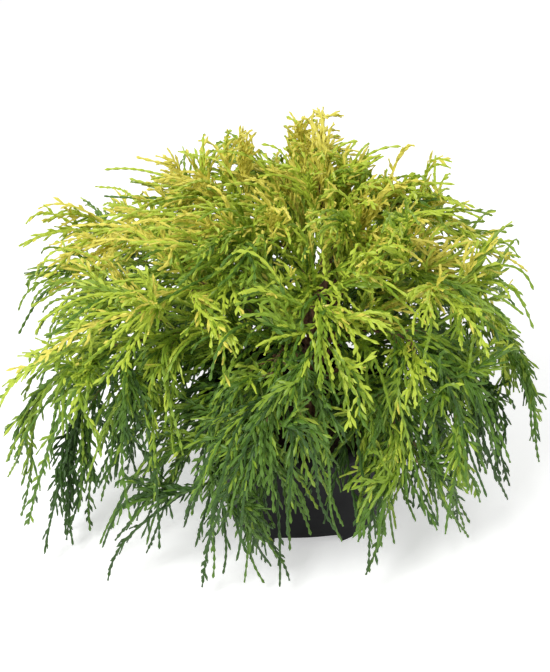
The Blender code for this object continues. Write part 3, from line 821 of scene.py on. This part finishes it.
def dressCrown():
    # Batches of threads, twigs and forks with equal numbers of nodes, each thread with its tone.
    rng = np.random.RandomState(threadForm["seed"])
    threads = gatherThreads(rng)
    twigs = growTwigs(threads, rng)
    batches = []
    for n in sorted({len(thread[0]) for thread in threads}):
        group = [thread for thread in threads if len(thread[0]) == n]
        paths = np.array([thread[0] for thread in group])
        plane = np.array([thread[2][0] for thread in group])
        # The stems are set darker than their twigs, and twigs lighter towards a thread's end: partly the
        # plant's own colour, partly painted shade.
        lift = np.array([thread[4] for thread in group]) + toneForm["stem"]
        batches.append((paths, plane, *threadForm["stem"], toneOf(paths[:, n // 2], lift, rng)))
    count = np.clip(np.round(twigs[:, 12] / threadForm["node"]).astype(int) + 1, *twigForm["nodes"])
    for n in np.unique(count):
        rows = twigs[count == n]
        paths = twigPaths(rows, n)
        tone = toneOf(paths[:, -1], rows[:, 13], rng)
        batches.append((paths, rows[:, 9:12], *threadForm["twig"], tone))
        if n >= forkForm["fewest"]:
            forks = twigPaths(growForks(rows, paths, rng), 3 if n < forkForm["long"] else 4)
            batches.append((forks, rows[:, 9:12], *threadForm["twig"], tone + toneForm["fork"]))
    return batches


def leafMaterial(tone, colour, roughness):
    # One plain colour, with a fine bump for the seams between scale leaves.
    material, _ = newMaterial(tone + "_leaf", colour, roughness)
    tree = material.node_tree
    place = addNode(tree, "TexCoord").outputs["Object"]
    height = addNoise(tree, place, leafBump["scale"], leafBump["detail"])
    addBump(tree, height, leafBump["strength"], leafBump["depth"])
    return material


def finishFoliage(name, parts, material, nodes):
    # One joined piece of threads, in place of the source's masses.
    made = meshObject(name, *joined(parts), material)
    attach(made, "root")
    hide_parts(*nodes)
    print(name, len(made.data.polygons) * 2, "triangles")


def buildFoliage():
    # The threads of each tone, joined into pieces of no more than a set number of triangles.
    batches = dressCrown()
    nodes = [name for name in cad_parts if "_mass_" in name or name == "top_tuft"]
    for number, (tone, colour, roughness) in enumerate(tones):
        material = leafMaterial(tone, colour, roughness)
        parts, piece = [], 1
        for paths, plane, waist, tooth, toneNumbers in batches:
            chosen = np.clip(np.floor(toneNumbers), 0, len(tones) - 1) == number
            groups = max(1, chosen.sum() * paths.shape[1] // threadForm["batch"])
            for group in np.array_split(np.flatnonzero(chosen), groups):
                if len(group) == 0:
                    continue
                parts.append(threadMesh(paths[group], plane[group], waist, tooth))
                if sum(len(quads) for _, quads in parts) * 2 > threadForm["most"]:
                    finishFoliage(f"{tone}_threads_{piece}", parts[:-1], material, nodes)
                    parts, piece = parts[-1:], piece + 1
        finishFoliage(f"{tone}_threads_{piece}", parts, material, nodes)


buildFoliage()

# Bark on the trunk, the boughs and the first part of each thread

barkForm = dict(
    around=56, along=150, boughAround=18, stemAround=8, relief=0.04, hint=(1.0, 0.1, 0.05), trunkPhase=0.4,
    leaderStem=(34, 0.0013), sideStem=(20, 0.0010), stemEnd=0.0006)
# Each wave of the relief: its height, ridges round the limb, turns along it and share of the phase.
barkWaves = ((1.0, 5, 9, 1), (0.7, 9, -23, 2), (0.5, 14, 61, 0), (0.4, 3, 140, 1))
barkFinish = dict(
    dark=(0.060, 0.026, 0.013), pale=(0.26, 0.135, 0.070), roughness=0.85, scale=260, bump=900,
    depth=0.0006, stretch=(1, 1, 0.25))


def tube(path, radii, around, phase):
    # Radius times 1 plus the relief's waves: sines of the angle that shift along the length.
    _, side, normal = framesAlong(path, np.array(barkForm["hint"]))
    angle = anglesRound(around)
    run = np.linspace(0, 1, len(path))[:, None]
    waves = sum(high * np.sin(ridges * angle + turns * run + share * phase)
                for high, ridges, turns, share in barkWaves)
    radius = radii[:, None] * (1 + barkForm["relief"] * waves)
    points = (path[:, None] + radius[..., None] * ringAround(side, normal, around)).reshape(-1, 3)
    middle, last = len(points), (len(path) - 1) * around
    fans = [((after, j, middle), (last + j, last + after, middle + 1))
            for j, after in enumerate([*range(1, around), 0])]
    points = np.concatenate([points, path[:1], path[-1:]])
    return points, np.concatenate([halves(gridFaces(len(path), around)), np.reshape(fans, (-1, 3))])


def joinTubes(name, tubes, material):
    made = meshObject(name, *joined(tubes), material, smooth=True)
    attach(made, "root")
    print(name, len(made.data.polygons), "triangles")
    return made


def buildBark():
    # The trunk, then all boughs with the woody first part of each blade path.
    bark = mottled("fibrous_bark", **barkFinish)
    path = trunkPath(barkForm["along"])
    trunk = tube(path, trunkRadii(path), barkForm["around"], barkForm["trunkPhase"])
    made = joinTubes("trunk_bark", [trunk], bark)
    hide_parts("trunk")
    tubes = []
    for k, path in enumerate(boughs):
        radii = np.linspace(boughForm["foot"], boughForm["tip"], len(path))
        tubes.append(tube(path, radii, barkForm["boughAround"], k))
    for _, kept in grown:
        for k, (controls, sway, _) in enumerate(kept):
            points, radius = barkForm["sideStem"] if k else barkForm["leaderStem"]
            path = wandered(bezier(*controls, boughForm["smooth"]), sway)[:points]
            radii = np.linspace(radius, barkForm["stemEnd"], points)
            tubes.append(tube(path, radii, barkForm["stemAround"], k))
    made = joinTubes("bough_bark", tubes, bark)
    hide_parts(*[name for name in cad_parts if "_bough_" in name])


buildBark()

# The pot

potForm = dict(
    height=0.104, lip=0.085, lipHeight=0.012, top=0.0792, base=0.0675, wall=0.0017, floorTop=0.0165,
    sump=0.002, footInner=0.0640, recess=0.0135, pad=0.026, arches=4, archHalf=math.radians(25.0),
    archHeight=0.0125, archEnd=0.005, archEdge=0.002, shoulder=0.012, segments=144,
    sharp=math.radians(35.0))
potFinish = dict(
    dark=(0.002, 0.002, 0.0026), pale=(0.005, 0.005, 0.006), roughness=0.45, scale=60, bump=1400,
    depth=0.00012)
potGloss = 0.12
wallTop = potForm["height"] - potForm["lipHeight"]
wallSlope = (potForm["top"] - potForm["base"]) / wallTop


def potProfile():
    # (radius, height) pairs: up the inside, over the lip, down the wall to the foot and in to the middle.
    floor, recess, pad, foot = (potForm[name] for name in ("floorTop", "recess", "pad", "footInner"))
    base, top, lip, high = (potForm[name] for name in ("base", "top", "lip", "height"))
    inTop, low = top - potForm["wall"], wallTop
    inBase = base - potForm["wall"] + (top - base) * floor / low
    inside = [(0.0, potForm["sump"]), (pad - 0.003, potForm["sump"]), (pad + 0.004, floor), (inBase, floor),
              (inTop, low - 0.001), (inTop + 0.0012, low + 0.0016), (lip - 0.0026, low + 0.0022)]
    rim = [(lip - 0.0021, high - 0.0004), (lip - 0.0018, high), (lip - 0.0009, high),
           (lip - 0.0003, high - 0.0003), (lip, high - 0.0009), (lip, low + 0.0014),
           (lip - 0.0003, low + 0.0004), (lip - 0.0012, low)]
    wall = [(top + 0.0003, low), (top - 0.0002, low - 0.0008), (base + (top - base) * 0.5, low * 0.5)]
    ring = [(base + (top - base) * potForm["shoulder"] / low, potForm["shoulder"]), (base, 0.0), (foot, 0.0)]
    under = [(foot - 0.002, recess), (pad + 0.006, recess), (pad, 0.0), (0.0, 0.0)]
    first = len(inside + rim + wall)
    return np.array(inside + rim + wall + ring + under), first


def buildPot():
    # The profile turned round Z. Points of the foot ring under an arch's top are lifted to it.
    half, count, edge = potForm["archHalf"], potForm["segments"], potForm["archEdge"]
    middles = -math.pi / 2 + anglesRound(potForm["arches"])
    ends = np.concatenate([middles + s * half + d for s in (-1, 1) for d in (-edge, edge)])
    angle = np.sort(np.concatenate([anglesRound(count), ends % math.tau]))
    away = (angle[:, None] - middles + math.pi) % math.tau - math.pi
    share = np.abs(away).min(axis=1) / half
    rise = potForm["archHeight"] - potForm["archEnd"]
    archTop = potForm["archEnd"] + rise * np.sqrt(np.clip(1 - share**2, 0, 1))
    archTop = np.where(share < 1, archTop, 0.0)
    profile, first = potProfile()
    radius = np.repeat(profile[:, :1], len(angle), axis=1)
    height = np.repeat(profile[:, 1:], len(angle), axis=1)
    height[first:first + 3] = np.maximum(height[first:first + 3], archTop)
    radius[first:first + 2] = potForm["base"] + wallSlope * height[first:first + 2]
    points = np.stack([radius * np.cos(angle), radius * np.sin(angle), height], axis=-1).reshape(-1, 3)
    plastic = mottled("black_plastic", **potFinish)
    plastic.node_tree.nodes["Principled BSDF"].inputs["Specular IOR Level"].default_value = potGloss
    made = meshObject("pot_shell", points, gridFaces(*radius.shape)[:, [0, 3, 2, 1]], plastic, smooth=True)
    tidyShell(made, potForm["sharp"])
    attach(made, "root")
    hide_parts("pot")
    print("pot_shell", len(made.data.polygons), "faces")


buildPot()

# Potting mix: an uneven mound with crumbs on it

soilForm = dict(
    top=0.0885, mound=0.0045, low=0.0168, rim=0.0760, rimGap=0.0009, underGap=0.0045, flat=(0.013, 0.012),
    edge=0.006, segments=128, rings=44, sharp=math.radians(60.0))
# Each wave of the mound: its height, then the numbers of two sines of x and y with a shift.
soilWaves = ((0.0009, (170, 0, 2), (0, 190, 0)), (0.0006, (420, 0, 0), (0, 390, 1)),
             (0.0004, (900, 300, 0), (-260, 860, 0)))
crumbForm = dict(
    count=520, seed=3, size=(0.0010, 0.0028), uneven=(0.5, 1.5), axes=(1.2, 1.2, 0.7), corner=(0.7, 1.3),
    inner=0.014, band=0.056, proud=0.0004)
soilFinish = dict(
    dark=(0.012, 0.008, 0.005), pale=(0.075, 0.045, 0.026), roughness=0.95, scale=420, bump=1300,
    depth=0.0009)


def soilHeight(x, y):
    # A low mound plus sines of the place at three scales, flat at the trunk and at the rim.
    r = np.hypot(x, y)
    rim = soilForm["rim"]
    bumps = sum(high * np.sin(a * x + b * y + c) * np.sin(d * x + e * y + f)
                for high, (a, b, c), (d, e, f) in soilWaves)
    start, run = soilForm["flat"]
    ease = np.clip((r - start) / run, 0, 1) * np.clip((rim - r) / soilForm["edge"], 0, 1)
    return soilForm["top"] - soilForm["mound"] * (r / rim) ** 2 + bumps * ease


def buildSoil():
    # Rings of the mound out to the wall, then down and in along the pot's floor.
    inside = potForm["base"] - potForm["wall"]
    rim = inside + wallSlope * (soilForm["top"] - soilForm["mound"]) - soilForm["rimGap"]
    under = inside + wallSlope * soilForm["low"] - soilForm["underGap"]
    angle = anglesRound(soilForm["segments"])
    radii = np.concatenate([np.linspace(0.0, rim, soilForm["rings"]), [under, 0.0]])
    x, y = radii[:, None] * np.cos(angle), radii[:, None] * np.sin(angle)
    z = soilHeight(x, y)
    z[-2:] = soilForm["low"]
    points = np.stack([x, y, z], axis=-1).reshape(-1, 3)
    mix = mottled("potting_mix_crumb", **soilFinish)
    made = meshObject("soil_plug", points, gridFaces(*x.shape)[:, [0, 3, 2, 1]], mix, smooth=True)
    tidyShell(made, soilForm["sharp"])
    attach(made, "root")
    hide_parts("soil")
    crumbs = meshObject("soil_crumbs", *crumbShapes(), mix)
    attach(crumbs, "root")
    print("soil and", crumbForm["count"], "crumbs")


def crumbShapes():
    # Octahedra with stretched, turned axes and uneven corners, half sunk into the mound.
    rng = np.random.RandomState(crumbForm["seed"])
    m = crumbForm["count"]
    corners = np.array([(1, 0, 0), (0, 1, 0), (-1, 0, 0), (0, -1, 0), (0, 0, 1), (0, 0, -1)], float)
    one = np.array([(0, 1, 4), (1, 2, 4), (2, 3, 4), (3, 0, 4),
                    (1, 0, 5), (2, 1, 5), (3, 2, 5), (0, 3, 5)])
    size = rng.uniform(*crumbForm["size"], (m, 1, 1)) * rng.uniform(*crumbForm["uneven"], (m, 1, 3))
    shape = corners * (size * crumbForm["axes"]) * rng.uniform(*crumbForm["corner"], (m, 6, 1))
    turn = rng.uniform(0, math.tau, m)
    cosT, sinT = np.cos(turn)[:, None], np.sin(turn)[:, None]
    x = shape[..., 0] * cosT - shape[..., 1] * sinT
    y = shape[..., 0] * sinT + shape[..., 1] * cosT
    r = crumbForm["inner"] + crumbForm["band"] * np.sqrt(rng.uniform(size=m))
    azimuth = rng.uniform(0, math.tau, m)
    placeX, placeY = r * np.cos(azimuth), r * np.sin(azimuth)
    z = shape[..., 2] + (soilHeight(placeX, placeY) + crumbForm["proud"])[:, None]
    points = np.stack([x + placeX[:, None], y + placeY[:, None], z], axis=-1).reshape(-1, 3)
    faces = (one[None] + (np.arange(m) * 6)[:, None, None]).reshape(-1, 3)
    return points, faces


buildSoil()
